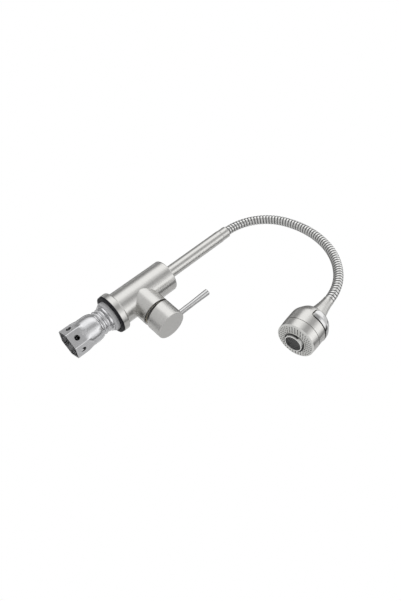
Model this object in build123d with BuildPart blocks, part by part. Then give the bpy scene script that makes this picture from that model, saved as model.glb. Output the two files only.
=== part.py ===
"""Kitchen tap with a stay-put flexible spout and a two-way spray head.

Millimetres. +Z is up along the body, the origin is on the body axis at the
level of the worktop, and +X points along the branch that carries the handle.
"""
import os
from math import cos, radians, sin

from build123d import *

# Body
body_r = 22.5
body_top = 97.5
body_edge = 2.0
ring_width = 4.7
ring_top = 12.2
ring_round = 2.2
gasket_h = 3.0
gasket_inset = 0.4
gasket_hole_r = 21.8
gasket_edge = 0.75
slip = 0.1

# Branch and cartridge, on an axis along +X
branch_z = 46.7
branch_r = 20.8
branch_end = 38.0
cartridge_r = 17.9
cartridge_floor = 9.0
seal_t = 1.5
housing_base_t = 2.5
housing_wall = 2.9
housing_front_t = 2.2
fixed_disc_t = 3.5
moving_disc_t = 3.0
moving_disc_r = 11.0
carrier_t = 3.5
guide_t = 7.0
guide_play = 0.3
port_r = 3.0
port_spread = 6.6
port_rise = 8.0
cartridge_nut_t = 4.8
cartridge_nut_hole_r = 10.0
cover_rim_r = 17.5
cover_hole_r = 9.5
cover_rise = 4.0
cover_t = 1.2

# Spindle and handle
pivot_x = 27.2
pin_r = 1.5
pin_fit = 0.05
spindle_r = 4.5
spindle_back = 25.0
spindle_end = 58.5
tip_r = 1.6
tip_neck_r = 1.3
tip_x = 21.3
tip_play = 0.4
cap_gap = 1.3
cap_wedge = 5.5
cap_face = 67.0
cap_bore_r = 18.2
cap_bore_end = 53.0
cap_edge = 0.8
hub_r = 8.0
hub_start = 46.5
rod_x = 60.0
rod_r = 3.9
rod_tip_r = 4.5
rod_top = 117.4
rod_kink_z = 91.0
rod_edge = 0.5
rod_socket_depth = 14.8
grub_r = 2.5
grub_length = 8.0
grub_key_depth = 4.0
grub_x = 56.0

# Supply inlets and shank
inlet_r = 4.46
inlet_depth = 14.0
inlet_spread = 6.6
shank_r = 15.0
shank_bore_r = 13.0
shank_depth = 15.0
thread_r = 16.6
thread_root_r = 15.3
thread_pitch = 6.0
thread_ridge = 4.9
thread_turns = 5
thread_start = -8.5
rubber_r = 20.9
rubber_foot_r = 19.6
rubber_foot = -5.5
rubber_side = -3.5
steel_washer_r = 18.4
steel_washer_t = 2.5

# Fixing nut
nut_top = -21.5
nut_foot = -65.0
nut_press_top = -40.0
nut_hex_top = -48.0
nut_r = 19.2
nut_neck_r = 17.0
nut_bend_r = 18.4
nut_bend = 3.5
nut_shoulder = 9.5
nut_wall = 1.8
nut_corner_r = 20.9
nut_corner_round = 2.0
nut_turn = 29.0
nut_hole_r = 3.6
nut_hole_up = 10.0

# Swivel and riser
riser_r = 8.65
riser_wall = 1.25
riser_top = 201.5
riser_edge = 0.5
swivel_r = 11.95
running_fit = 0.07
retainer_t = 8.5
retainer_gap = 0.3
retainer_sink = 0.2
sleeve_length = 16.5
sleeve_lift = 1.0
o_ring_r = 1.0
o_ring_play = 0.05
o_ring_drops = (5.5, 12.0)
waterway_r = 4.5

# Flexible hose: three tangent arcs in one upright plane
spout_turn = -11.5
ferrule_r = 8.2
ferrule_top = 215.0
ferrule_spigot = 9.5
ferrule_edge = 0.8
hose_r = 6.5
hose_root_r = 5.5
hose_bore_r = 4.4
hose_pitch = 3.7
arc_radii = (69.2, 123.5, 94.2)
arc_turns = (76.1, 66.2, 30.0)
inner_hose_r = 4.3
inner_hose_wall = 1.0

# Spray head, measured down its own axis from the end of the hose
neck_start_r = 6.8
neck_straight = 4.0
neck_flare = 0.1
neck_length = 28.5
neck_end_r = 11.0
spigot_r = 7.0
spigot_end = 37.0
dome_top_r = 11.5
shoulder_r = 18.2
shoulder_drop = 32.9
side_r = 22.1
side_drop = 39.5
dome_foot_r = 24.4
dome_foot = 62.9
chamber_r = 19.5
chamber_top = 54.0
band_end = 74.6
band_foot_r = 23.9
band_wall = 1.2
seam_width = 0.8
seam_depth = 0.9
flange_t = 2.4
flange_hole_r = 17.5
flange_spigot = 5.5
divider_t = 3.0
divider_holes = 8
divider_hole_r = 2.2
face_end = 76.5
face_t = 3.5
face_round = 1.2
nozzle_r = 0.65
nozzle_ring_radii = (14.2, 16.5, 18.8, 21.1)
nozzle_counts = (24, 28, 32, 36)
aerator_r = 11.2
aerator_wall = 1.0
aerator_end = 81.5
collar_r = 13.2
collar_wall = 0.8
collar_end = 80.3
collar_notch = 77.9
collar_notches = (38.0, 158.0, 278.0)
collar_notch_turn = 45.0
groove_floor = 75.5
mesh_sink = 0.8
mesh_t = 1.2

# Diverter rocker let into the shoulder of the dome
rocker_top = 36.0
rocker_foot = 49.6
rocker_half_turn = 73.0
rocker_proud = 0.8
rocker_t = 2.4
rocker_top_round = 5.0
rocker_foot_round = 3.5
rocker_play = 1.0
rocker_end_play = 4.2
rocker_room = 1.8
rocker_pivot_r = 17.0
rocker_pin_r = 1.2
rocker_pin_top = 37.5
rocker_pin_foot = 47.5
lug_top = 40.0
lug_foot = 45.0
lug_w = 5.0
lug_r = 14.8
lug_sink = 1.2
lug_play = 0.6

# Planes and axes that the pieces share
body_axis = Axis((0, 0, 0), (0, 0, 1))
branch_axis = Axis((0, 0, branch_z), (1, 0, 0))
branch_side = Plane(origin=(0, 0, branch_z), x_dir=(1, 0, 0), z_dir=(0, -1, 0))
branch_cross = Plane(origin=(0, 0, branch_z), x_dir=(0, 1, 0), z_dir=(1, 0, 0))
pivot_plane = Plane(origin=(pivot_x, 0, branch_z), z_dir=(0, 1, 0))
reach = Vector(cos(radians(spout_turn)), sin(radians(spout_turn)), 0)
across = Vector(reach.Y, -reach.X, 0)
spout_plane = Plane(origin=(0, 0, 0), x_dir=reach, z_dir=across)

with BuildLine(spout_plane) as hose_line:
    arc = JernArc((0, ferrule_top), (0, 1), arc_radii[0], -arc_turns[0])
    for radius, turn in zip(arc_radii[1:], arc_turns[1:]):
        arc = JernArc(arc @ 1, arc % 1, radius, -turn)

hose_path = hose_line.wires()[0]
hose_end = hose_path @ 1
head_down = hose_path % 1
head_out = across.cross(head_down)
head_side = head_down.cross(head_out)
head_axis = Axis(hose_end, head_down)


def hose_section(share):
    """Plane across the hose at a share of its length."""
    return Plane(origin=hose_path @ share, x_dir=across, z_dir=hose_path % share)


def head_plane(angle=0):
    """Half-plane through the head's axis: x is the radius, y runs down the head."""
    radius_dir = head_out * cos(radians(angle)) + head_side * sin(radians(angle))
    return Plane(origin=hose_end, x_dir=radius_dir, z_dir=radius_dir.cross(head_down))


def head_cross(drop):
    """Plane across the head at a given distance down its axis."""
    return Plane(origin=hose_end + head_down * drop, x_dir=head_out, z_dir=head_down)


def keep(piece, name):
    """Labels one finished piece and writes it."""
    piece.part.label = name
    export_step(piece.part, f"parts/{name}.step")


os.makedirs("parts", exist_ok=True)

# Body: a turned cylinder with the branch welded to its side
ring_r = body_r + ring_width
sleeve_top = body_top - retainer_sink - retainer_t - retainer_gap
sleeve_foot = sleeve_top - sleeve_length
swivel_floor = sleeve_foot - sleeve_lift
inlet_floor = gasket_h + shank_depth
inlet_roof = inlet_floor + inlet_depth
inlets = [(0, inlet_spread), (0, -inlet_spread)]
ports = [(port_spread, 0), (-port_spread, 0), (0, port_rise)]
with BuildPart() as tap_body:
    with BuildSketch(Plane.XY.offset(gasket_h)):
        Circle(body_r)
    extrude(amount=body_top - gasket_h)
    fillet(tap_body.edges().group_by(Axis.Z)[-1], body_edge)
    with BuildSketch(branch_cross):
        Circle(branch_r)
    extrude(amount=branch_end)
    with BuildSketch(branch_cross.offset(cartridge_floor)):
        Circle(cartridge_r + slip)
    extrude(amount=branch_end - cartridge_floor, mode=Mode.SUBTRACT)
    with BuildSketch(Plane.XY.offset(swivel_floor)):
        Circle(swivel_r)
    extrude(amount=body_top - swivel_floor, mode=Mode.SUBTRACT)
    with BuildSketch(Plane.XY.offset(gasket_h)):
        Circle(shank_r)
    extrude(amount=shank_depth, mode=Mode.SUBTRACT)
    with BuildSketch(Plane.XY.offset(inlet_floor)):
        with Locations(*inlets):
            Circle(inlet_r)
    extrude(amount=inlet_depth, mode=Mode.SUBTRACT)
    with BuildSketch(Plane.XY.offset(inlet_roof)):
        with Locations(*inlets):
            Circle(port_r)
    extrude(amount=branch_z - inlet_roof, mode=Mode.SUBTRACT)
    with BuildSketch(Plane.XY.offset(branch_z + port_rise)):
        Circle(waterway_r)
    extrude(amount=swivel_floor - branch_z - port_rise, mode=Mode.SUBTRACT)
    with BuildSketch(branch_cross):
        with Locations(*ports):
            Circle(port_r)
    extrude(amount=cartridge_floor, mode=Mode.SUBTRACT)
keep(tap_body, "tap_body")

with BuildPart() as base_ring:
    with BuildSketch(Plane.XZ):
        with BuildLine():
            Line((body_r, gasket_h), (ring_r, gasket_h))
            Line((ring_r, gasket_h), (ring_r, ring_top - ring_round))
            RadiusArc((ring_r, ring_top - ring_round), (ring_r - ring_round, ring_top), -ring_round)
            Line((ring_r - ring_round, ring_top), (body_r, ring_top))
            Line((body_r, ring_top), (body_r, gasket_h))
        make_face()
    revolve(axis=body_axis)
keep(base_ring, "base_ring")

with BuildPart() as base_gasket:
    with BuildSketch(Plane.XY):
        Circle(ring_r - gasket_inset)
        Circle(gasket_hole_r, mode=Mode.SUBTRACT)
    extrude(amount=gasket_h)
    fillet(base_gasket.edges().group_by(Axis.Z)[0].sort_by(SortBy.RADIUS)[-1], gasket_edge)
keep(base_gasket, "base_gasket")

# Fixing set under the worktop
thread_foot = thread_start - thread_turns * thread_pitch
with BuildPart() as threaded_shank:
    with BuildSketch(Plane.XZ):
        with BuildLine():
            Polyline(
                (thread_root_r, thread_foot),
                (shank_bore_r, thread_foot),
                (shank_bore_r, inlet_floor),
                (shank_r, inlet_floor),
                (shank_r, gasket_h),
                (thread_root_r, gasket_h),
                (thread_root_r, thread_start),
            )
            for turn in range(thread_turns):
                ridge_top = thread_start - turn * thread_pitch
                ridge_foot = ridge_top - thread_ridge
                ThreePointArc(
                    (thread_root_r, ridge_top),
                    (thread_r, (ridge_top + ridge_foot) / 2),
                    (thread_root_r, ridge_foot),
                )
                Line((thread_root_r, ridge_foot), (thread_root_r, ridge_top - thread_pitch))
        make_face()
    revolve(axis=body_axis)
keep(threaded_shank, "threaded_shank")

with BuildPart() as rubber_washer:
    with BuildSketch(Plane.XZ):
        with BuildLine():
            Polyline(
                (thread_root_r, rubber_foot),
                (rubber_foot_r, rubber_foot),
                (rubber_r, rubber_side),
                (rubber_r, gasket_h),
                (thread_root_r, gasket_h),
                close=True,
            )
        make_face()
    revolve(axis=body_axis)
keep(rubber_washer, "rubber_washer")

with BuildPart() as steel_washer:
    with BuildSketch(Plane.XY.offset(rubber_foot - steel_washer_t)):
        Circle(steel_washer_r)
        Circle(thread_root_r, mode=Mode.SUBTRACT)
    extrude(amount=steel_washer_t)
keep(steel_washer, "steel_washer")


def nut_hexagon(level, inset=0):
    """Hexagon with round corners that the foot of the nut is pressed to."""
    with BuildSketch(Plane.XY.offset(level)) as hexagon:
        RegularPolygon(nut_corner_r, 6, rotation=nut_turn)
        fillet(hexagon.vertices(), nut_corner_round)
        if inset:
            offset(amount=-inset, mode=Mode.REPLACE)
    return hexagon.sketch


# Nut: a round tube with a drawn-in top, pressed to a hexagon at its foot
nut_bore_r = thread_r + slip
with BuildPart() as fixing_nut:
    add(nut_hexagon(nut_foot))
    extrude(amount=nut_hex_top - nut_foot)
    add(nut_hexagon(nut_hex_top))
    with BuildSketch(Plane.XY.offset(nut_press_top)):
        Circle(nut_r)
    loft()
    with BuildSketch(Plane.XZ):
        with BuildLine():
            Line((nut_r, nut_press_top), (nut_r, nut_top - nut_shoulder))
            ThreePointArc(
                (nut_r, nut_top - nut_shoulder),
                (nut_bend_r, nut_top - nut_bend),
                (nut_neck_r, nut_top),
            )
            Polyline((nut_neck_r, nut_top), (0, nut_top), (0, nut_press_top), (nut_r, nut_press_top))
        make_face()
    revolve(axis=body_axis)
    add(nut_hexagon(nut_foot, nut_wall))
    extrude(amount=nut_hex_top - nut_foot, mode=Mode.SUBTRACT)
    add(nut_hexagon(nut_hex_top, nut_wall))
    with BuildSketch(Plane.XY.offset(nut_press_top)):
        Circle(nut_bore_r)
    loft(mode=Mode.SUBTRACT)
    with BuildSketch(Plane.XY.offset(nut_press_top)):
        Circle(nut_bore_r)
    extrude(amount=nut_top - nut_press_top, mode=Mode.SUBTRACT)
    for flat in range(6):
        flat_angle = nut_turn + 30 + 60 * flat
        hole_dir = Vector(cos(radians(flat_angle)), sin(radians(flat_angle)), 0)
        with BuildSketch(Plane((0, 0, nut_foot + nut_hole_up), z_dir=hole_dir)):
            Circle(nut_hole_r)
        extrude(amount=nut_corner_r, mode=Mode.SUBTRACT)
keep(fixing_nut, "fixing_nut")

# Cartridge, from the floor of its bore outwards
housing_back = cartridge_floor + seal_t
disc_back = housing_back + housing_base_t
disc_face = disc_back + fixed_disc_t
carrier_back = disc_face + moving_disc_t
guide_back = carrier_back + carrier_t + guide_play
guide_front = guide_back + guide_t
housing_front = guide_front + guide_play + housing_front_t
nut_front = housing_front + cartridge_nut_t
inner_r = cartridge_r - housing_wall

with BuildPart() as cartridge_seal:
    with BuildSketch(branch_cross.offset(cartridge_floor)):
        Circle(inner_r)
        with Locations(*ports):
            Circle(port_r, mode=Mode.SUBTRACT)
    extrude(amount=seal_t)
keep(cartridge_seal, "cartridge_seal")

with BuildPart() as cartridge_housing:
    with BuildSketch(branch_cross.offset(housing_back)):
        Circle(cartridge_r)
    extrude(amount=housing_front - housing_back)
    with BuildSketch(branch_cross.offset(disc_back)):
        Circle(inner_r)
    extrude(amount=housing_front - housing_front_t - disc_back, mode=Mode.SUBTRACT)
    with BuildSketch(branch_cross.offset(housing_front)):
        Circle(cover_hole_r)
    extrude(amount=-housing_front_t, mode=Mode.SUBTRACT)
    with BuildSketch(branch_cross.offset(housing_back)):
        with Locations(*ports):
            Circle(port_r)
    extrude(amount=housing_base_t, mode=Mode.SUBTRACT)
keep(cartridge_housing, "cartridge_housing")

with BuildPart() as fixed_disc:
    with BuildSketch(branch_cross.offset(disc_back)):
        Circle(inner_r - slip)
        with Locations(*ports):
            Circle(port_r, mode=Mode.SUBTRACT)
    extrude(amount=fixed_disc_t)
keep(fixed_disc, "fixed_disc")

with BuildPart() as moving_disc:
    with BuildSketch(branch_cross.offset(disc_face)):
        Circle(moving_disc_r)
        with Locations((0, port_rise / 2)):
            SlotOverall(port_r * 3, port_r, mode=Mode.SUBTRACT)
    extrude(amount=moving_disc_t)
keep(moving_disc, "moving_disc")

with BuildPart() as disc_carrier:
    with BuildSketch(branch_cross.offset(carrier_back)):
        Circle(moving_disc_r)
        Rectangle(2 * (tip_r + 2 * tip_play), 2 * (tip_r + tip_play), mode=Mode.SUBTRACT)
    extrude(amount=carrier_t)
keep(disc_carrier, "disc_carrier")

with BuildPart() as spindle_guide:
    with BuildSketch(branch_cross.offset(guide_back)):
        Circle(inner_r - slip)
        Rectangle(2 * (spindle_r + slip), 2 * spindle_r + guide_t, mode=Mode.SUBTRACT)
    extrude(amount=guide_t)
    with Locations(pivot_plane):
        Cylinder(pin_r, 2 * inner_r, mode=Mode.SUBTRACT)
keep(spindle_guide, "spindle_guide")

with BuildPart() as pivot_pin:
    with Locations(pivot_plane):
        Cylinder(pin_r, 2 * (inner_r - housing_wall))
keep(pivot_pin, "pivot_pin")

with BuildPart() as spindle:
    with BuildSketch(branch_cross.offset(spindle_back)):
        Circle(spindle_r)
    extrude(amount=spindle_end - spindle_back)
    with BuildSketch(branch_cross.offset(tip_x)):
        Circle(tip_neck_r)
    extrude(amount=spindle_back - tip_x)
    with Locations((tip_x, 0, branch_z)):
        Sphere(tip_r)
    with Locations(pivot_plane):
        Cylinder(pin_r + pin_fit, 2 * inner_r, mode=Mode.SUBTRACT)
keep(spindle, "spindle")

with BuildPart() as cartridge_nut:
    with BuildSketch(branch_cross.offset(housing_front)):
        Circle(cartridge_r)
        Circle(cartridge_nut_hole_r, mode=Mode.SUBTRACT)
    extrude(amount=cartridge_nut_t)
keep(cartridge_nut, "cartridge_nut")

with BuildPart() as cartridge_cover:
    with BuildSketch(branch_side):
        with BuildLine():
            Polyline(
                (nut_front, cover_rim_r),
                (nut_front + cover_t, cover_rim_r),
                (nut_front + cover_rise, cover_hole_r + cover_t),
                (nut_front + cover_rise, cover_hole_r),
                (nut_front + cover_rise - cover_t, cover_hole_r),
                (nut_front, cover_rim_r - cover_t * 2),
                close=True,
            )
        make_face()
    revolve(axis=branch_axis)
keep(cartridge_cover, "cartridge_cover")

# Handle: a turned cap with the lever rod screwed into it
cap_back = branch_end + cap_gap
rod_foot = branch_z + branch_r - rod_socket_depth
grub_side = Plane(origin=(grub_x, 0, branch_z), z_dir=(0, 1, 0))
with BuildPart() as handle_cap:
    with BuildSketch(branch_cross.offset(cap_back)):
        Circle(branch_r)
    extrude(amount=cap_face - cap_back)
    fillet(handle_cap.edges().group_by(Axis.X)[-1], cap_edge)
    with BuildSketch(branch_cross.offset(cap_back)):
        Circle(cap_bore_r)
    extrude(amount=cap_bore_end - cap_back, mode=Mode.SUBTRACT)
    with BuildSketch(branch_side):
        with BuildLine():
            Polyline(
                (cap_back, branch_r),
                (cap_back + cap_wedge, -branch_r),
                (cap_back, -branch_r),
                close=True,
            )
        make_face()
    extrude(amount=branch_r, both=True, mode=Mode.SUBTRACT)
    with BuildSketch(branch_cross.offset(hub_start)):
        Circle(hub_r)
    extrude(amount=cap_bore_end - hub_start)
    with BuildSketch(branch_cross.offset(hub_start)):
        Circle(spindle_r)
    extrude(amount=spindle_end - hub_start, mode=Mode.SUBTRACT)
    with BuildSketch(Plane((rod_x, 0, rod_foot))):
        Circle(rod_r)
    extrude(amount=rod_socket_depth, mode=Mode.SUBTRACT)
    with BuildSketch(grub_side):
        Circle(grub_r)
    extrude(amount=branch_r, mode=Mode.SUBTRACT)
keep(handle_cap, "handle_cap")

with BuildPart() as lever_rod:
    with BuildSketch(Plane.XZ):
        with BuildLine():
            Polyline(
                (rod_x, rod_foot),
                (rod_x + rod_r, rod_foot),
                (rod_x + rod_r, rod_kink_z),
                (rod_x + rod_tip_r, rod_top),
                (rod_x, rod_top),
                close=True,
            )
        make_face()
    revolve(axis=Axis((rod_x, 0, 0), (0, 0, 1)))
    fillet(lever_rod.edges().group_by(Axis.Z)[-1], rod_edge)
keep(lever_rod, "lever_rod")

with BuildPart() as grub_screw:
    with BuildSketch(grub_side.offset(spindle_r)):
        Circle(grub_r)
    extrude(amount=grub_length)
    with BuildSketch(grub_side.offset(spindle_r + grub_length)):
        RegularPolygon(grub_r / 2, 6)
    extrude(amount=-grub_key_depth, mode=Mode.SUBTRACT)
keep(grub_screw, "grub_screw")

# Swivel joint in the top of the body
o_ring_levels = [sleeve_top - drop for drop in o_ring_drops]
o_ring_groove = o_ring_r + o_ring_play
with BuildPart() as spout_sleeve:
    with BuildSketch(Plane.XY.offset(sleeve_foot)):
        Circle(swivel_r - running_fit)
        Circle(riser_r, mode=Mode.SUBTRACT)
    extrude(amount=sleeve_length)
    for level in o_ring_levels:
        with BuildSketch(Plane.XY.offset(level - o_ring_groove)):
            Circle(swivel_r)
            Circle(swivel_r - 2 * o_ring_groove, mode=Mode.SUBTRACT)
        extrude(amount=2 * o_ring_groove, mode=Mode.SUBTRACT)
keep(spout_sleeve, "spout_sleeve")

with BuildPart() as o_rings:
    for level in o_ring_levels:
        with Locations((0, 0, level)):
            Torus(swivel_r - o_ring_groove, o_ring_r)
keep(o_rings, "o_rings")

with BuildPart() as retaining_collar:
    with BuildSketch(Plane.XY.offset(sleeve_top + retainer_gap)):
        Circle(swivel_r)
        Circle(riser_r + running_fit, mode=Mode.SUBTRACT)
    extrude(amount=retainer_t)
keep(retaining_collar, "retaining_collar")

with BuildPart() as riser_tube:
    with BuildSketch(Plane.XY.offset(sleeve_foot)):
        Circle(riser_r)
    extrude(amount=riser_top - sleeve_foot)
    chamfer(riser_tube.edges().group_by(Axis.Z)[-1], riser_edge)
    with BuildSketch(Plane.XY.offset(sleeve_foot)):
        Circle(riser_r - riser_wall)
    extrude(amount=riser_top - sleeve_foot, mode=Mode.SUBTRACT)
keep(riser_tube, "riser_tube")

with BuildPart() as hose_ferrule:
    with BuildSketch(Plane.XY.offset(riser_top)):
        Circle(ferrule_r)
    extrude(amount=ferrule_top - riser_top)
    chamfer(hose_ferrule.edges().group_by(Axis.Z)[-1], ferrule_edge)
    chamfer(hose_ferrule.edges().group_by(Axis.Z)[0], riser_edge)
    with BuildSketch(Plane.XY.offset(riser_top - ferrule_spigot)):
        Circle(riser_r - riser_wall)
    extrude(amount=ferrule_spigot)
    with BuildSketch(Plane.XY.offset(riser_top - ferrule_spigot)):
        Circle(inner_hose_r)
    extrude(amount=ferrule_top - riser_top + ferrule_spigot, mode=Mode.SUBTRACT)
keep(hose_ferrule, "hose_ferrule")

# Gooseneck: windings stand out as ridges one pitch apart along the arcs
half_turns = 2 * round(hose_path.length / hose_pitch)
with BuildPart() as flex_hose:
    for half_turn in range(half_turns + 1):
        with BuildSketch(hose_section(half_turn / half_turns)):
            Circle(hose_r if half_turn % 2 else hose_root_r)
    loft(ruled=True)
    with BuildSketch(hose_section(0)):
        Circle(hose_bore_r)
    sweep(path=hose_path, mode=Mode.SUBTRACT)
keep(flex_hose, "flex_hose")

with BuildPart() as inner_hose:
    with BuildSketch(hose_section(0)):
        Circle(inner_hose_r)
        Circle(inner_hose_r - inner_hose_wall, mode=Mode.SUBTRACT)
    sweep(path=hose_path)
keep(inner_hose, "inner_hose")

# Spray head, turned about its own axis
with BuildPart() as head_neck:
    with BuildSketch(head_plane()):
        with BuildLine():
            Line((inner_hose_r, 0), (neck_start_r, 0))
            Line((neck_start_r, 0), (neck_start_r, neck_straight))
            TangentArc(
                (neck_start_r, neck_straight),
                (neck_end_r, neck_length),
                tangent=(neck_flare, 1),
            )
            Polyline(
                (neck_end_r, neck_length),
                (spigot_r, neck_length),
                (spigot_r, spigot_end),
                (inner_hose_r, spigot_end),
                (inner_hose_r, 0),
            )
        make_face()
    revolve(axis=head_axis)
keep(head_neck, "head_neck")


def dome_curve(shift=0):
    """Outer curve of the dome, moved out or in by a distance."""
    return Spline(
        (dome_top_r + shift, neck_length),
        (shoulder_r + shift, shoulder_drop),
        (side_r + shift, side_drop),
        (dome_foot_r + shift, dome_foot),
        tangents=((1, 0.5), (0, 1)),
    )


def dome_band(out, deep, top, foot, half_turn, top_round, foot_round):
    """Part of the dome's skin between two drops and two angles, with round corners."""
    with BuildPart() as band:
        with BuildSketch(head_plane(-half_turn)):
            with BuildLine():
                outer = dome_curve(out)
                inner = dome_curve(-deep)
                Line(outer @ 0, inner @ 0)
                Line(outer @ 1, inner @ 1)
            make_face()
            with Locations((dome_foot_r, (top + foot) / 2)):
                Rectangle(2 * dome_foot_r, foot - top, mode=Mode.INTERSECT)
        revolve(axis=head_axis, revolution_arc=2 * half_turn)
        fillet(band.edges().filter_by(GeomType.LINE).sort_by(head_axis)[:2], top_round)
        fillet(band.edges().filter_by(GeomType.LINE).sort_by(head_axis)[-2:], foot_round)
    return band.part


pocket_depth = rocker_t + rocker_room
rocker_pocket = dome_band(
    dome_foot_r - side_r + rocker_proud,
    pocket_depth,
    rocker_top - rocker_play,
    rocker_foot + rocker_play,
    rocker_half_turn + rocker_end_play,
    rocker_top_round,
    rocker_foot_round,
)
rocker_plate = dome_band(
    rocker_proud,
    rocker_t,
    rocker_top,
    rocker_foot,
    rocker_half_turn,
    rocker_top_round,
    rocker_foot_round,
)
lug_end = side_r - rocker_t + lug_sink

with BuildPart() as head_dome:
    with BuildSketch(head_plane()):
        with BuildLine():
            Line((spigot_r, neck_length), (dome_top_r, neck_length))
            dome_curve()
            Polyline(
                (dome_foot_r, dome_foot),
                (chamber_r, dome_foot),
                (chamber_r, chamber_top),
                (inner_hose_r, chamber_top),
                (inner_hose_r, spigot_end),
                (spigot_r, spigot_end),
                (spigot_r, neck_length),
            )
        make_face()
    revolve(axis=head_axis)
    add(rocker_pocket, mode=Mode.SUBTRACT)
    with BuildSketch(head_cross(lug_top - lug_play)):
        with Locations(((lug_r - lug_play + lug_end) / 2, 0)):
            Rectangle(lug_end - lug_r + lug_play, lug_w + 2 * lug_play)
    extrude(amount=lug_foot - lug_top + 2 * lug_play, mode=Mode.SUBTRACT)
    with BuildSketch(head_cross(rocker_pin_top)):
        with Locations((rocker_pivot_r, 0)):
            Circle(rocker_pin_r)
    extrude(amount=rocker_pin_foot - rocker_pin_top, mode=Mode.SUBTRACT)
keep(head_dome, "head_dome")

with BuildPart() as diverter_rocker:
    add(rocker_plate)
    with BuildSketch(head_cross(lug_top)):
        with Locations(((lug_r + lug_end) / 2, 0)):
            Rectangle(lug_end - lug_r, lug_w)
    extrude(amount=lug_foot - lug_top)
    with BuildSketch(head_cross(lug_top)):
        with Locations((rocker_pivot_r, 0)):
            Circle(rocker_pin_r + pin_fit)
    extrude(amount=lug_foot - lug_top, mode=Mode.SUBTRACT)
keep(diverter_rocker, "diverter_rocker")

with BuildPart() as rocker_pin:
    with BuildSketch(head_cross(rocker_pin_top)):
        with Locations((rocker_pivot_r, 0)):
            Circle(rocker_pin_r)
    extrude(amount=rocker_pin_foot - rocker_pin_top)
keep(rocker_pin, "rocker_pin")

flange_end = dome_foot + flange_t
divider_end = flange_end + divider_t
with BuildPart() as head_band:
    with BuildSketch(head_plane()):
        with BuildLine():
            Polyline(
                (flange_hole_r, dome_foot - flange_spigot),
                (chamber_r - slip, dome_foot - flange_spigot),
                (chamber_r - slip, dome_foot),
                (dome_foot_r - seam_depth, dome_foot),
                (dome_foot_r - seam_depth, dome_foot + seam_width),
                (dome_foot_r, dome_foot + seam_width),
                (band_foot_r, band_end),
                (band_foot_r - band_wall, band_end),
                (band_foot_r - band_wall, flange_end),
                (flange_hole_r, flange_end),
                close=True,
            )
        make_face()
    revolve(axis=head_axis)
keep(head_band, "head_band")

face_r = band_foot_r - band_wall - slip
with BuildPart() as flow_divider:
    with BuildSketch(head_cross(flange_end)):
        Circle(face_r)
        Circle(aerator_r - aerator_wall, mode=Mode.SUBTRACT)
        with PolarLocations((face_r + collar_r) / 2, divider_holes):
            Circle(divider_hole_r, mode=Mode.SUBTRACT)
    extrude(amount=divider_t)
keep(flow_divider, "flow_divider")

# Spray face: a moulded plate with rings of nozzles round a notched collar
with BuildPart() as spray_face:
    with BuildSketch(head_plane()):
        with BuildLine():
            Polyline(
                (band_foot_r - face_round, face_end),
                (collar_r, face_end),
                (collar_r, collar_end),
                (collar_r - collar_wall, collar_end),
                (collar_r - collar_wall, groove_floor),
                (aerator_r, groove_floor),
                (aerator_r, divider_end),
                (collar_r, divider_end),
                (collar_r, face_end - face_t),
                (face_r - band_wall, face_end - face_t),
                (face_r - band_wall, divider_end),
                (face_r, divider_end),
                (face_r, band_end),
                (band_foot_r, band_end),
                (band_foot_r, face_end - face_round),
            )
            RadiusArc(
                (band_foot_r, face_end - face_round),
                (band_foot_r - face_round, face_end),
                -face_round,
            )
        make_face()
    revolve(axis=head_axis)
    for angle in collar_notches:
        with BuildSketch(head_plane(angle - collar_notch_turn / 2)):
            with Locations((collar_r, (collar_notch + collar_end) / 2)):
                Rectangle(2 * collar_wall, collar_end - collar_notch)
        revolve(axis=head_axis, revolution_arc=collar_notch_turn, mode=Mode.SUBTRACT)
    for radius, count in zip(nozzle_ring_radii, nozzle_counts):
        with BuildSketch(head_cross(face_end - face_t)):
            with PolarLocations(radius, count):
                Circle(nozzle_r)
        extrude(amount=face_t, mode=Mode.SUBTRACT)
keep(spray_face, "spray_face")

with BuildPart() as aerator_ring:
    with BuildSketch(head_cross(divider_end)):
        Circle(aerator_r)
        Circle(aerator_r - aerator_wall, mode=Mode.SUBTRACT)
    extrude(amount=aerator_end - divider_end)
keep(aerator_ring, "aerator_ring")

with BuildPart() as aerator_mesh:
    with BuildSketch(head_cross(aerator_end - mesh_sink - mesh_t)):
        Circle(aerator_r - aerator_wall)
    extrude(amount=mesh_t)
keep(aerator_mesh, "aerator_mesh")
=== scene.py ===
"""Looks of the flexible spout kitchen tap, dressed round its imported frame.

Metres, +Z up along the body, +X along the branch that carries the handle.
"""

from math import cos, pi, radians, sin, tau
from typing import NamedTuple

import bmesh
import bpy
from mathutils import Matrix, Vector


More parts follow.
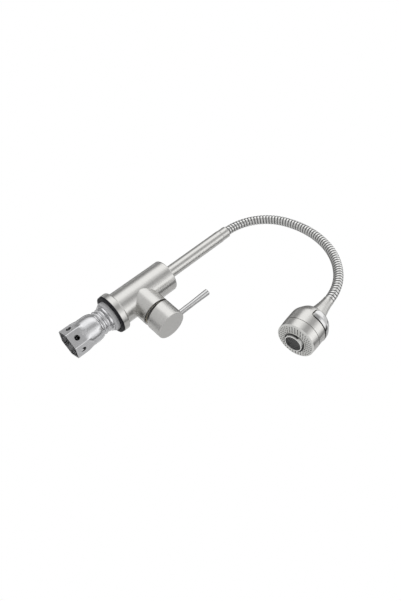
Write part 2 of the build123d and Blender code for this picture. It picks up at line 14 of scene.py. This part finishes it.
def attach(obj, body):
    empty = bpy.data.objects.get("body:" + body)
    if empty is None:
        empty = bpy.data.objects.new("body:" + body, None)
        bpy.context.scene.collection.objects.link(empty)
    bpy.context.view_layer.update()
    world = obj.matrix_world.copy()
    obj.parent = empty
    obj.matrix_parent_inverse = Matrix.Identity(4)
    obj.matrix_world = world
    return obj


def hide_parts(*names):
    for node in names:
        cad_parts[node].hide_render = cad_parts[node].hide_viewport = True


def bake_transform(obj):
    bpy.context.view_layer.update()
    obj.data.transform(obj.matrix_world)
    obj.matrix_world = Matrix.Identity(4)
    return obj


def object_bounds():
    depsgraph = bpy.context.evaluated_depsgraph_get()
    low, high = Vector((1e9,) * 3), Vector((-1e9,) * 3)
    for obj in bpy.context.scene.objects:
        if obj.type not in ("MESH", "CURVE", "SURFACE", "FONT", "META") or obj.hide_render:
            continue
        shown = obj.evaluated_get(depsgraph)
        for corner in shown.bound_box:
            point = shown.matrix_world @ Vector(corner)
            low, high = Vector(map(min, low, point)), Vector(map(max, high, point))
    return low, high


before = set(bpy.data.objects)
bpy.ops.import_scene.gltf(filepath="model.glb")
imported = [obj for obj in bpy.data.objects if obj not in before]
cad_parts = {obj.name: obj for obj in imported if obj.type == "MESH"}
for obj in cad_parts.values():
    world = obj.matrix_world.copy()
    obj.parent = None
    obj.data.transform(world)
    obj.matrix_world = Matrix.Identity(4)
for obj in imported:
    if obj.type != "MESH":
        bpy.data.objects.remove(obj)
cad_low, cad_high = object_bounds()

MM = 0.001
UP = Vector((0, 0, 1))
BRANCH = Vector((1, 0, 0))

# Camera that took the photograph, in the tap's own frame
PHOTO_HEIGHT = 601
FOCAL_PIXELS = 542.95
SENSOR = 36.0
CAMERA_PLACE = Vector((0.37323, -0.57262, -0.19722))
CAMERA_AHEAD = Vector((-0.43202, 0.79999, 0.41637))
CAMERA_UP = Vector((-0.57499, -0.60001, 0.55621))
CAMERA_AZIMUTH = -56.9

# Steel strip of the hose, spaced as the photograph shows it
STRIP_RADIUS = 6.45 * MM
STRIP_ROOT = 5.5 * MM
STRIP_PITCH = 4.48 * MM

# Hose line and spray head, repeated from the part's source; drops are measured down from the hose's end
SPOUT_TURN = radians(-11.5)
HOSE_START = 215.0 * MM
INNER_HOSE_RADIUS = 4.3 * MM
ARC_RADII = (69.2 * MM, 123.5 * MM, 94.2 * MM)
ARC_TURNS = (radians(76.1), radians(66.2), radians(30.0))
FACE_DROP = 76.5 * MM
NOZZLE_RADIUS = 0.65 * MM
NOZZLE_RING_RADII = (14.2 * MM, 16.5 * MM, 18.8 * MM, 21.1 * MM)
NOZZLE_COUNTS = (24, 28, 32, 36)
COLLAR_RADIUS = 13.2 * MM
COLLAR_EDGE_DROP = 78.3 * MM
MESH_RADIUS = 10.2 * MM
MESH_DROP = 80.7 * MM

# Studio: the floor's gap under the nut and half its side, and how far off the panels stand
FLOOR_GAP = 0.5 * MM
FLOOR_HALF = 4.0
LAMP_DISTANCE = 1.1
CARD_DISTANCE = 1.6

# The hose bends in the upright plane that REACH and UP span
REACH = Vector((cos(SPOUT_TURN), sin(SPOUT_TURN), 0))
ACROSS = REACH.cross(UP)


class Wire:
    """A shader socket; arithmetic on it adds Math nodes to its tree."""

    def __init__(self, paint, socket):
        self.paint = paint
        self.socket = socket

    def math(self, operation, *values):
        """One Math node on values or wires."""
        inputs = dict(enumerate(values))
        return self.paint.node("ShaderNodeMath", {"operation": operation}, inputs)

    def __add__(self, other):
        return self.math("ADD", self, other)

    def __radd__(self, other):
        return self.math("ADD", other, self)

    def __mul__(self, other):
        return self.math("MULTIPLY", self, other)

    def __rmul__(self, other):
        return self.math("MULTIPLY", other, self)


class Paint:
    """A node tree of a material or the world."""

    def __init__(self, owner):
        owner.use_nodes = True
        self.tree = owner.node_tree

    def node(self, kind, settings=None, inputs=None, output=0):
        """Adds one node: its settings first, then its sockets' values or links."""
        made = self.tree.nodes.new(kind)
        for key, value in (settings or {}).items():
            setattr(made, key, value)
        for key, value in (inputs or {}).items():
            self.feed(made.inputs[key], value)
        return Wire(self, made.outputs[output])

    def feed(self, socket, value):
        """Links a wire to a socket, or sets a plain value on it."""
        if isinstance(value, Wire):
            self.tree.links.new(value.socket, socket)
        else:
            socket.default_value = value

    def mix(self, factor, low, high):
        """Colour between two colours by a factor; the node's colour sockets have no names of their own."""
        factor_socket, low_socket, high_socket, colour_output = 0, 6, 7, 2
        inputs = {factor_socket: factor}
        for socket, colour in ((low_socket, low), (high_socket, high)):
            inputs[socket] = colour if isinstance(colour, Wire) else (*colour, 1)
        return self.node("ShaderNodeMix", {"data_type": "RGBA"}, inputs, colour_output)

    def place(self, axis=UP, cell=(1, 1, 1), centre=(0, 0, 0)):
        """Object coordinates from a centre, turned so that an axis is z, counted in cells."""
        coords = self.node("ShaderNodeTexCoord", output="Object")
        turn = UP.rotation_difference(axis).to_euler()
        inputs = {"Vector": coords, "Location": centre, "Rotation": turn, "Scale": cell}
        return self.node("ShaderNodeMapping", {"vector_type": "TEXTURE"}, inputs)

    def noise(self, vector, scale=1.0, detail=3.0):
        """Soft random values about 0.5, a number of them to each metre or cell."""
        inputs = {"Vector": vector, "Scale": scale, "Detail": detail}
        return self.node("ShaderNodeTexNoise", None, inputs)

    def bump(self, height, distance):
        """Surface normals raised by a height of 1 to a distance."""
        inputs = {"Height": height, "Distance": distance}
        return self.node("ShaderNodeBump", None, inputs)


def surface(name, metallic):
    """A material with its node tree and its shader."""
    material = bpy.data.materials.new(name)
    paint = Paint(material)
    shader = paint.tree.nodes["Principled BSDF"]
    paint.feed(shader.inputs["Metallic"], metallic)
    return material, paint, shader


def turned_metal(name, axis, light, dark, rough):
    """Metal with fine turning lines round an axis, and slow changes of sheen."""
    line_length, line_spacing, line_depth = 80 * MM, 0.35 * MM, 0.01 * MM
    clouds_per_metre = 60.0
    material, paint, shader = surface(name, 1.0)
    lines = paint.noise(paint.place(axis, (line_length, line_length, line_spacing)), detail=4.0)
    clouds = paint.noise(paint.place(), clouds_per_metre)
    paint.feed(shader.inputs["Base Color"], paint.mix(clouds * 0.4 + lines * 0.6, dark, light))
    paint.feed(shader.inputs["Roughness"], rough + clouds * 0.06 + lines * 0.1)
    paint.feed(shader.inputs["Normal"], paint.bump(lines, line_depth))
    return material


def plain_metal(name, light, dark, rough, clouds_per_metre, depth):
    """Bare metal with faint clouds and a fine grain."""
    grains_per_cloud = 12
    material, paint, shader = surface(name, 1.0)
    clouds = paint.noise(paint.place(), clouds_per_metre)
    grain = paint.noise(paint.place(), clouds_per_metre * grains_per_cloud)
    paint.feed(shader.inputs["Base Color"], paint.mix(clouds, dark, light))
    paint.feed(shader.inputs["Roughness"], rough + clouds * 0.1)
    paint.feed(shader.inputs["Normal"], paint.bump(grain, depth))
    return material


def moulded(name, light, dark, rough, depth, groove=None, sheen=0.5):
    """Rubber, plastic or ceramic with a fine grain, and with painted shade in a groove where a mask for it
    is given.
    """
    clouds_per_metre, grains_per_metre = 150.0, 2500.0
    painted_shadow_black = (0.02, 0.02, 0.02)
    material, paint, shader = surface(name, 0.0)
    clouds = paint.noise(paint.place(), clouds_per_metre)
    grain = paint.noise(paint.place(), grains_per_metre)
    shade = paint.mix(clouds, dark, light)
    # Painted shade: near black where the groove's mask is 1
    if groove:
        shade = paint.mix(groove(paint), shade, painted_shadow_black)
    paint.feed(shader.inputs["Base Color"], shade)
    paint.feed(shader.inputs["Specular IOR Level"], sheen)
    paint.feed(shader.inputs["Roughness"], rough + grain * 0.15)
    paint.feed(shader.inputs["Normal"], paint.bump(grain, depth))
    return material


def collar_shade_mask(paint):
    """1 where shade is painted: on the collar's edge round the aerator, and in the groove within it."""
    margin = 0.1 * MM
    tall_cell = 1 / MM**2
    flat = paint.place(HEAD_DOWN, (1, 1, tall_cell), HOSE_END)
    radius = paint.node("ShaderNodeVectorMath", {"operation": "LENGTH"}, {0: flat}, "Value")
    place = paint.place(HEAD_DOWN, centre=HOSE_END)
    drop = paint.node("ShaderNodeSeparateXYZ", None, {0: place}, "Z")
    on_edge = drop.math("GREATER_THAN", drop, COLLAR_EDGE_DROP)
    return radius.math("LESS_THAN", radius, on_edge * (2 * margin) + (COLLAR_RADIUS - margin))


def strip_metal(name, light, dark, rough):
    """Bright wound strip with painted shade that darkens it from its crest down into its grooves."""
    clouds_per_metre = 180.0
    material, paint, shader = surface(name, 1.0)
    crest = paint.node("ShaderNodeAttribute", {"attribute_name": "crest"}, output="Fac")
    clouds = paint.noise(paint.place(), clouds_per_metre)
    # Painted shade: the strip turns near black down in its grooves by the crest attribute
    painted_crest_light = crest * crest * (0.85 + clouds * 0.3)
    paint.feed(shader.inputs["Base Color"], paint.mix(painted_crest_light, dark, light))
    paint.feed(shader.inputs["Roughness"], rough + clouds * 0.08)
    return material


class HoseArc(NamedTuple):
    """One arc of the hose: its distance along the hose, its heading from upright there, and its bend."""

    start: float
    heading: float
    centre: Vector
    radius: float
    turn: float


def lay_hose():
    """The arcs of the hose one after another, then its end, its last heading and its length."""
    point, heading, start = Vector((0, 0, HOSE_START)), 0.0, 0.0
    arcs = []
    for radius, turn in zip(ARC_RADII, ARC_TURNS):
        inward = REACH * cos(heading) - UP * sin(heading)
        centre = point + inward * radius
        arcs.append(HoseArc(start, heading, centre, radius, turn))
        start += radius * turn
        heading += turn
        point = centre - (REACH * cos(heading) - UP * sin(heading)) * radius
    return arcs, point, heading, start


HOSE_ARCS, HOSE_END, END_HEADING, HOSE_LENGTH = lay_hose()
HEAD_DOWN = REACH * sin(END_HEADING) + UP * cos(END_HEADING)
HEAD_OUT = REACH * -cos(END_HEADING) + UP * sin(END_HEADING)
HEAD_SIDE = HEAD_DOWN.cross(HEAD_OUT)


def head_matrix(drop):
    """Local x out of the arch, z down the head's axis, origin at a drop below the hose."""
    turn = Matrix((HEAD_OUT, HEAD_SIDE, HEAD_DOWN)).transposed().to_4x4()
    return Matrix.Translation(HOSE_END + HEAD_DOWN * drop) @ turn


def on_hose(distance):
    """Centre and outward direction of the hose at a distance along it, or a little past its ends."""
    begun = [arc for arc in HOSE_ARCS if arc.start <= distance] or HOSE_ARCS[:1]
    arc = begun[-1]
    angle = arc.heading + (distance - arc.start) / arc.radius
    outward = UP * sin(angle) - REACH * cos(angle)
    return arc.centre + outward * arc.radius, outward


def finish_piece(bm, name, *materials):
    """Turns a bmesh into a smooth object at the origin with its materials."""
    bmesh.ops.recalc_face_normals(bm, faces=bm.faces)
    for face in bm.faces:
        face.smooth = True
    mesh = bpy.data.meshes.new(name)
    bm.to_mesh(mesh)
    bm.free()
    piece = bpy.data.objects.new(name, mesh)
    bpy.context.scene.collection.objects.link(piece)
    for material in materials:
        mesh.materials.append(material)
    return piece


def close_ends(bm):
    """Fills the open ends of a swept piece."""
    edges = [edge for edge in bm.edges if edge.is_boundary]
    bmesh.ops.holes_fill(bm, edges=edges, sides=0)


def add_windings(material):
    """The gooseneck's steel strip: one rounded section wound from inside the ferrule into the neck."""
    steps_per_turn = 28
    half_width = STRIP_PITCH * 0.46
    tucked = STRIP_PITCH * 0.9
    depth = STRIP_RADIUS - STRIP_ROOT
    arch_points = 8
    arch_fullness = 0.6
    bm = bmesh.new()
    # Rise of the strip above its root, which the strip's material turns into painted shade in the grooves
    crest = bm.verts.layers.float.new("crest")
    section = []
    for i in range(arch_points + 1):
        angle = pi * i / arch_points
        rise = depth * sin(angle) ** arch_fullness
        along = half_width - half_width * cos(angle) - tucked
        section.append(bm.verts.new((STRIP_ROOT + rise, 0, along)))
    edges = [bm.edges.new(pair) for pair in zip(section, section[1:] + section[:1])]
    steps = round(steps_per_turn * (HOSE_LENGTH + tucked) / STRIP_PITCH)
    bmesh.ops.spin(
        bm,
        geom=section + edges,
        axis=UP,
        dvec=UP * STRIP_PITCH / steps_per_turn,
        angle=tau * steps / steps_per_turn,
        steps=steps,
    )
    close_ends(bm)
    # The straight winding is laid along the hose's line
    for vert in bm.verts:
        vert[crest] = (vert.co.xy.length - STRIP_ROOT) / depth
        centre, outward = on_hose(vert.co.z)
        vert.co = centre + outward * vert.co.x + ACROSS * vert.co.y
    return finish_piece(bm, "hose_windings", material)


def add_inner_hose(material):
    """Water hose inside the windings, spun round each arc's own centre."""
    steps_per_radian = 20
    bm = bmesh.new()
    ring = bmesh.ops.create_circle(bm, segments=20, radius=INNER_HOSE_RADIUS)["verts"]
    bmesh.ops.translate(bm, verts=ring, vec=UP * HOSE_START)
    geom = bm.verts[:] + bm.edges[:]
    for arc in HOSE_ARCS:
        steps = round(arc.turn * steps_per_radian)
        spun = bmesh.ops.spin(bm, geom=geom, cent=arc.centre, axis=-ACROSS, angle=arc.turn, steps=steps)
        geom = spun["geom_last"]
    close_ends(bm)
    return finish_piece(bm, "inner_tube", material)


def nozzle_mesh():
    """One nozzle: a low rim round a countersunk throat whose floor takes painted shade, spun round its own
    axis.
    """
    throat = NOZZLE_RADIUS - 0.03 * MM
    rim = NOZZLE_RADIUS + 0.25 * MM
    throat_floor = -0.6 * MM
    profile = (
        (0, throat_floor),
        (throat, throat_floor),
        (throat, 0.02 * MM),
        (rim, 0.06 * MM),
        (rim + 0.1 * MM, 0.14 * MM),
        (rim + 0.25 * MM, -0.02 * MM),
    )
    bm = bmesh.new()
    verts = [bm.verts.new((radius, 0, height)) for radius, height in profile]
    edges = [bm.edges.new(pair) for pair in zip(verts, verts[1:])]
    bmesh.ops.spin(bm, geom=verts + edges, axis=UP, angle=tau, steps=10, use_merge=True)
    bmesh.ops.remove_doubles(bm, verts=bm.verts, dist=0.001 * MM)
    # Faces inside the rim take the painted shade of the hole
    for face in bm.faces:
        face.material_index = int(face.calc_center_median().xy.length < (throat + rim) / 2)
    mesh = bpy.data.meshes.new("nozzle")
    bm.to_mesh(mesh)
    bm.free()
    return mesh


def add_nozzles(rim_material, throat_shade_material):
    """A nozzle in each hole of the spray face."""
    pattern = nozzle_mesh()
    bm = bmesh.new()
    for radius, count in zip(NOZZLE_RING_RADII, NOZZLE_COUNTS):
        for i in range(count):
            angle = tau * i / count
            old = len(bm.verts)
            bm.from_mesh(pattern)
            bm.verts.ensure_lookup_table()
            spot = Vector((radius * cos(angle), radius * sin(angle), 0))
            bmesh.ops.translate(bm, verts=bm.verts[old:], vec=spot)
    bmesh.ops.transform(bm, matrix=head_matrix(FACE_DROP), verts=bm.verts)
    bpy.data.meshes.remove(pattern)
    return finish_piece(bm, "spray_nozzles", rim_material, throat_shade_material)


def add_wire_mesh(material):
    """Woven wire in the mouth of the aerator."""
    pitch, wire = 0.95 * MM, 0.2 * MM
    lines = int(MESH_RADIUS / pitch)
    lay = Matrix.Rotation(pi / 2, 4, "X")
    bm = bmesh.new()
    for quarter in (0, pi / 2):
        for line in range(-lines, lines + 1):
            offset = line * pitch
            length = 2 * (MESH_RADIUS**2 - offset**2) ** 0.5
            turn = Matrix.Rotation(quarter, 4, "Z") @ Matrix.Translation((offset, 0, 0))
            sizes = {"segments": 6, "radius1": wire, "radius2": wire, "depth": length}
            bmesh.ops.create_cone(bm, cap_ends=True, matrix=turn @ lay, **sizes)
    bmesh.ops.transform(bm, matrix=head_matrix(MESH_DROP + wire), verts=bm.verts)
    return finish_piece(bm, "aerator_wires", material)


def add_floor():
    """Pale floor under the nut that is clear from below."""
    bm = bmesh.new()
    bmesh.ops.create_grid(bm, x_segments=1, y_segments=1, size=FLOOR_HALF)
    bmesh.ops.translate(bm, verts=bm.verts, vec=UP * (cad_low.z - FLOOR_GAP))
    material, paint, shader = surface("pale_floor", 0.0)
    paint.feed(shader.inputs["Base Color"], (0.9, 0.9, 0.9, 1))
    paint.feed(shader.inputs["Roughness"], 0.8)
    below = paint.node("ShaderNodeNewGeometry", output="Backfacing")
    clear = paint.node("ShaderNodeBsdfTransparent")
    plain = Wire(paint, shader.outputs["BSDF"])
    one_sided = paint.node("ShaderNodeMixShader", None, {0: below, 1: plain, 2: clear})
    paint.feed(paint.tree.nodes["Material Output"].inputs["Surface"], one_sided)
    finish_piece(bm, "floor", material)


def add_surround():
    """A white studio to the camera and in reflections, and a softer one for shading."""
    world = bpy.data.worlds.new("studio")
    bpy.context.scene.world = world
    paint = Paint(world)
    camera = paint.node("ShaderNodeLightPath", output="Is Camera Ray")
    glossy = paint.node("ShaderNodeLightPath", output="Is Glossy Ray")
    passing = paint.node("ShaderNodeLightPath", output="Is Transmission Ray")
    shade = paint.mix(camera + glossy + passing, (0.75, 0.75, 0.75), (1, 1, 1))
    paint.feed(paint.tree.nodes["Background"].inputs["Color"], shade)


def panel_matrix(azimuth, elevation, distance):
    """Place of a panel that faces the tap, by its bearing from the camera's."""
    bearing = radians(CAMERA_AZIMUTH + azimuth)
    level = radians(elevation)
    away = Vector((cos(level) * cos(bearing), cos(level) * sin(bearing), sin(level)))
    middle = (cad_low + cad_high) / 2
    turn = away.to_track_quat("Z", "Y").to_matrix().to_4x4()
    return Matrix.Translation(middle + away * distance) @ turn


def add_soft_box(name, azimuth, elevation, width, height, radiance):
    """An evenly bright lamp panel."""
    data = bpy.data.lights.new(name, "AREA")
    data.shape = "RECTANGLE"
    data.size, data.size_y = width, height
    data.energy = radiance * pi * width * height
    lamp = bpy.data.objects.new(name, data)
    bpy.context.scene.collection.objects.link(lamp)
    lamp.visible_camera = False
    lamp.matrix_world = panel_matrix(azimuth, elevation, LAMP_DISTANCE)


def add_card(name, azimuth, elevation, width, height, shade):
    """A plain grey card that the steel mirrors, out of the camera's sight."""
    half_side = 0.5
    bm = bmesh.new()
    bmesh.ops.create_grid(bm, x_segments=1, y_segments=1, size=half_side)
    bmesh.ops.scale(bm, vec=(width, height, 1), verts=bm.verts)
    place = panel_matrix(azimuth, elevation, CARD_DISTANCE)
    bmesh.ops.transform(bm, matrix=place, verts=bm.verts)
    material = bpy.data.materials.new(name)
    paint = Paint(material)
    glow = paint.node("ShaderNodeEmission", None, {"Color": (shade, shade, shade, 1)})
    paint.feed(paint.tree.nodes["Material Output"].inputs["Surface"], glow)
    card = finish_piece(bm, name, material)
    card.visible_camera = False
    card.visible_diffuse = False
    card.visible_shadow = False


def add_camera():
    """The photograph's own view of the tap."""
    data = bpy.data.cameras.new("camera")
    data.sensor_width = SENSOR
    data.lens = FOCAL_PIXELS * SENSOR / PHOTO_HEIGHT
    camera = bpy.data.objects.new("camera", data)
    bpy.context.scene.collection.objects.link(camera)
    right = CAMERA_AHEAD.cross(CAMERA_UP)
    turn = Matrix((right, CAMERA_UP, -CAMERA_AHEAD)).transposed().to_4x4()
    camera.matrix_world = Matrix.Translation(CAMERA_PLACE) @ turn
    bpy.context.scene.camera = camera


def dress(nodes, material):
    """Gives CAD nodes their finish."""
    for name in nodes:
        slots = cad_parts[name].data.materials
        slots.clear()
        slots.append(material)


bpy.context.scene.view_settings.view_transform = "Standard"
add_camera()
add_floor()
add_surround()

# Panels: bearing from the camera and elevation in degrees, width and height in metres, brightness
add_soft_box("left_box", -67, 26, 0.8, 1.0, 0.55)
add_soft_box("right_box", 36, 26, 0.6, 1.0, 0.65)
add_soft_box("top_box", -60, 80, 0.8, 0.8, 0.6)
add_card("front_card", -14, 15, 0.8, 2.6, 0.55)
add_card("gap_card", 80, 15, 0.5, 2.6, 0.1)
add_card("side_card", 122, 15, 1.4, 2.6, 0.7)
add_card("back_card", 190, 15, 1.8, 2.6, 0.2)
add_card("far_card", -115, 15, 0.9, 2.6, 0.35)
add_card("roof_card", 190, 62, 1.8, 1.0, 0.25)

# Finishes: light and dark shade, roughness, clouds to a metre on plain metal, depth of the grain
STEEL_LIGHT = (0.6, 0.595, 0.58)
STEEL_DARK = (0.48, 0.475, 0.46)
upright_steel = turned_metal("brushed_body_steel", UP, STEEL_LIGHT, STEEL_DARK, 0.2)
branch_steel = turned_metal("brushed_cap_steel", BRANCH, STEEL_LIGHT, STEEL_DARK, 0.22)
head_steel = turned_metal("brushed_head_steel", HEAD_DOWN, STEEL_LIGHT, STEEL_DARK, 0.22)
# The wound strip's near-black dark shade is painted shade for its grooves
wound_steel = strip_metal("wound_strip_steel", (0.64, 0.64, 0.63), (0.03, 0.03, 0.03), 0.15)
polished = plain_metal("polished_steel", (0.56, 0.56, 0.56), (0.48, 0.48, 0.48), 0.12, 90, 0.002 * MM)
bare_steel = plain_metal("bare_nut_steel", (0.66, 0.66, 0.67), (0.5, 0.5, 0.51), 0.2, 110, 0.004 * MM)
dark_wire = plain_metal("dark_wire", (0.2, 0.2, 0.2), (0.1, 0.1, 0.1), 0.35, 200, 0.01 * MM)
turned_brass = plain_metal("turned_brass", (0.74, 0.57, 0.28), (0.62, 0.46, 0.2), 0.25, 120, 0.01 * MM)
RUBBER_LIGHT = (0.016, 0.016, 0.02)
RUBBER_DARK = (0.008, 0.008, 0.01)
black_rubber = moulded("black_rubber", RUBBER_LIGHT, RUBBER_DARK, 0.5, 0.02 * MM, sheen=0.15)
grey_rubber = moulded("grey_rubber", (0.5, 0.5, 0.51), (0.42, 0.42, 0.43), 0.35, 0.02 * MM)
FACE_LIGHT = (0.66, 0.66, 0.64)
FACE_DARK = (0.6, 0.6, 0.58)
# The face's mask paints near-black shade on the collar's edge round the aerator and in its groove
face_plastic = moulded("pale_face_plastic", FACE_LIGHT, FACE_DARK, 0.3, 0.01 * MM, collar_shade_mask)
PLASTIC_LIGHT = (0.8, 0.8, 0.78)
PLASTIC_DARK = (0.74, 0.74, 0.72)
rim_plastic = moulded("aerator_rim_plastic", PLASTIC_LIGHT, PLASTIC_DARK, 0.25, 0.005 * MM)
white_plastic = moulded("white_cartridge_plastic", PLASTIC_LIGHT, PLASTIC_DARK, 0.4, 0.01 * MM)
lapped_ceramic = moulded("lapped_ceramic", (0.9, 0.9, 0.88), (0.86, 0.86, 0.84), 0.15, 0.002 * MM)
# Near-black painted shade standing in for the dark inside of the nozzle holes and of the aerator behind
# its wires
throat_shade = moulded("painted_throat_shade", (0.05, 0.045, 0.04), (0.03, 0.03, 0.025), 0.6, 0.005 * MM)

dress(["tap_body", "base_ring", "riser_tube", "hose_ferrule", "retaining_collar"], upright_steel)
dress(["handle_cap", "cartridge_cover"], branch_steel)
dress(["head_neck", "head_dome", "head_band"], head_steel)
dress(["lever_rod", "diverter_rocker", "rocker_pin", "pivot_pin", "grub_screw", "flex_hose"], polished)
dress(["fixing_nut", "threaded_shank", "steel_washer"], bare_steel)
dress(["base_gasket", "cartridge_seal", "o_rings", "inner_hose"], black_rubber)
dress(["rubber_washer"], grey_rubber)
dress(["spray_face"], face_plastic)
dress(["aerator_ring"], rim_plastic)
dress(["cartridge_housing", "disc_carrier", "spindle_guide", "flow_divider"], white_plastic)
dress(["fixed_disc", "moving_disc"], lapped_ceramic)
dress(["spindle", "cartridge_nut", "spout_sleeve"], turned_brass)
# Painted shade for the inside of the aerator behind its wires
dress(["aerator_mesh"], throat_shade)

windings = add_windings(wound_steel)
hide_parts("flex_hose")
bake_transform(windings)
inner_tube = add_inner_hose(black_rubber)
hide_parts("inner_hose")
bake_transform(inner_tube)

nozzles = add_nozzles(rim_plastic, throat_shade)
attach(nozzles, "head")
wires = add_wire_mesh(dark_wire)
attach(wires, "head")
